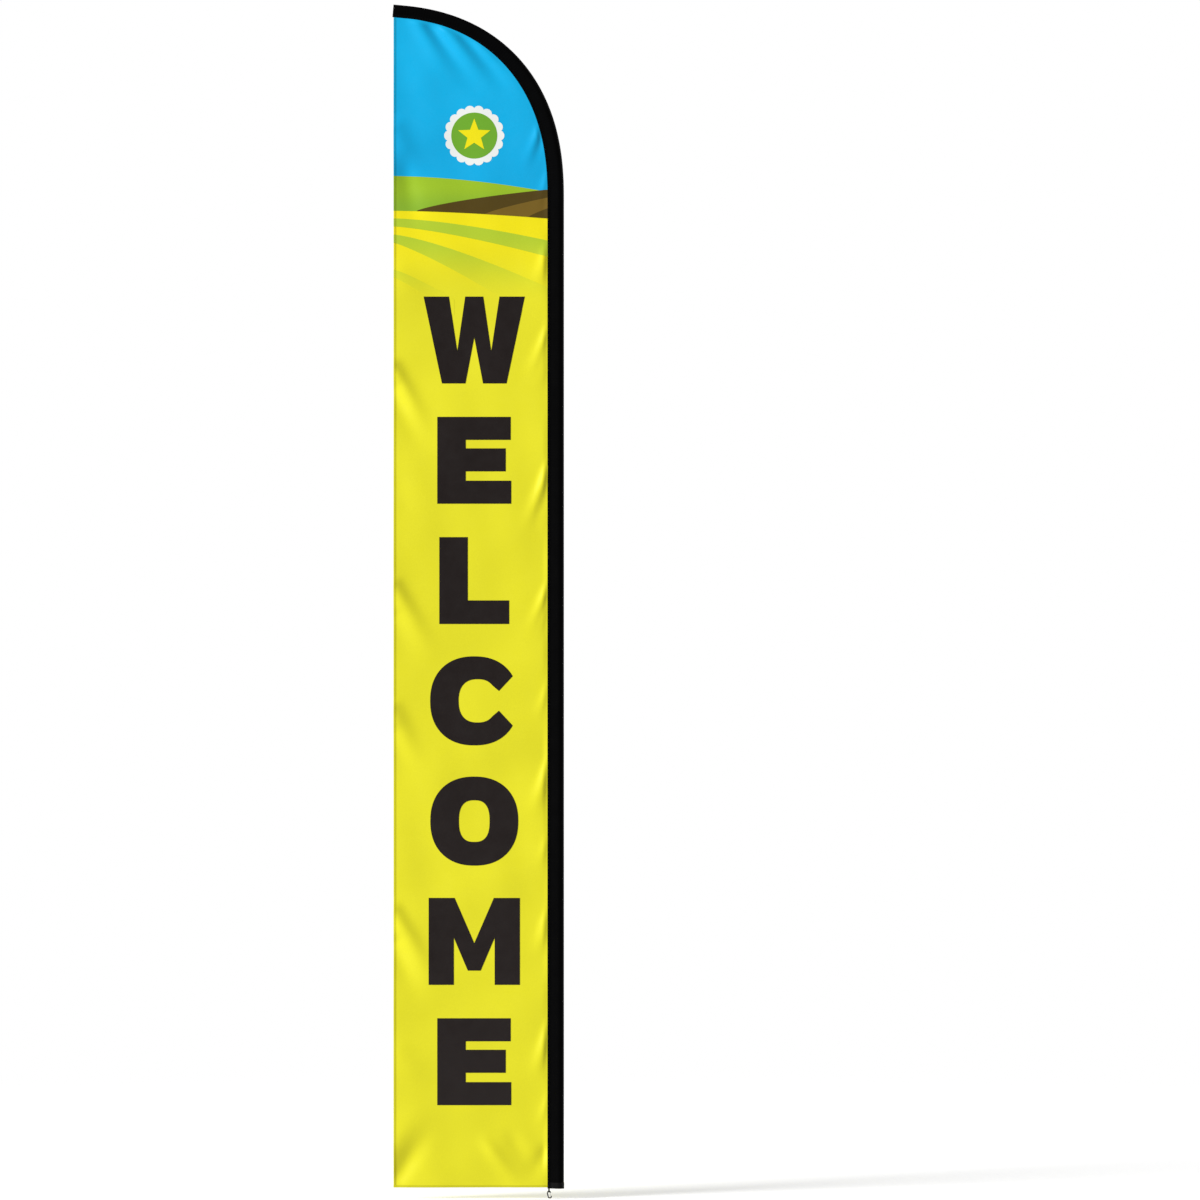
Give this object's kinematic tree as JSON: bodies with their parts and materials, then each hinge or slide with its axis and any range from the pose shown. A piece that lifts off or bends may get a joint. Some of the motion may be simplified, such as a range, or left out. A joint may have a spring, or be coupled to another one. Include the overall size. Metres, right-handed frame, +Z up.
{
  "type": "feather flag with pole",
  "caption": "Tall double-sided feather flag: a print sewn to a black pole sleeve that bows over at the top, on a plug-together pole with a swivel foot and a small snap clip.",
  "frame": {"origin": "centre of the pole's foot, where it stands on its base", "axes": "+Z up the pole, the flag flies towards -X, its front faces -Y"},
  "size_m": [0.6272, 0.037, 4.3581],
  "materials": {
    "nylon": "satin moulded nylon",
    "steel": "satin",
    "tube": "satin anodised",
    "composite": "satin fibreglass composite",
    "rubber": "matte",
    "webbing": "woven, matte",
    "sleeve_cloth": "woven, matte",
    "print": "printed knit, matte with a slight sheen",
    "print_sky": "printed knit, matte with a slight sheen",
    "print_green": "printed knit, matte with a slight sheen",
    "print_brown": "printed knit, matte with a slight sheen",
    "print_dark": "printed knit, matte",
    "print_white": "printed knit, matte",
    "liner": "coated blockout cloth",
    "thread_yellow": "sewing thread",
    "thread_black": "sewing thread",
    "clip": "black, satin",
    "wire": "bright spring wire"
  },
  "bodies": {
    "foot": {"swivel_bush": "nylon", "thrust_washer": "steel"},
    "lower_pole": {"foot_housing": "tube", "foot_housing_rivet": "steel", "lower_tube": "tube", "lower_ferrule": "steel"},
    "middle_pole": {"middle_tube": "tube", "middle_collar": "nylon", "middle_collar_rivet": "steel", "middle_ferrule": "steel"},
    "upper_pole": {"upper_rod": "composite", "upper_reducer": "nylon", "upper_collar": "nylon", "upper_collar_rivet": "steel", "upper_ferrule": "steel"},
    "flag": {"tip_rod": "composite", "tip_collar": "nylon", "tip_collar_screw": "steel", "tip_cap": "rubber", "tip_pocket": "webbing", "pole_sleeve": "sleeve_cloth", "sleeve_mouth_band": "webbing", "front_panel": "print", "blockout_liner": "liner", "back_panel": "print", "hook_tab": "webbing"},
    "clip": {"hook_body": "clip"},
    "gate": {"wire_gate": "wire"}
  },
  "joints": [
    {"name": "pole_swivel", "type": "hinge", "parent": "foot", "child": "lower_pole", "pos_m": [0, 0, 0], "axis": [0, 0, 1], "continuous": true},
    {"name": "lower_plug", "type": "slide", "parent": "lower_pole", "child": "middle_pole", "axis": [0, 0, 1], "range_m": [0, 0.09]},
    {"name": "middle_plug", "type": "slide", "parent": "middle_pole", "child": "upper_pole", "axis": [0, 0, 1], "range_m": [0, 0.09]},
    {"name": "upper_plug", "type": "slide", "parent": "upper_pole", "child": "flag", "axis": [0, 0, 1], "range_m": [0, 0.09]},
    {"name": "clip_swing", "type": "hinge", "parent": "flag", "child": "clip", "pos_m": [-0.0372, 0, -0.01787], "axis": [0, 1, 0], "range_deg": [-15, 45]},
    {"name": "gate_hinge", "type": "hinge", "parent": "clip", "child": "gate", "pos_m": [-0.03147, 0, -0.01647], "axis": [0, 1, 0], "range_deg": [0, 18], "stiffness_Nm_per_rad": 0.02, "springref_deg": -17.19}
  ]
}
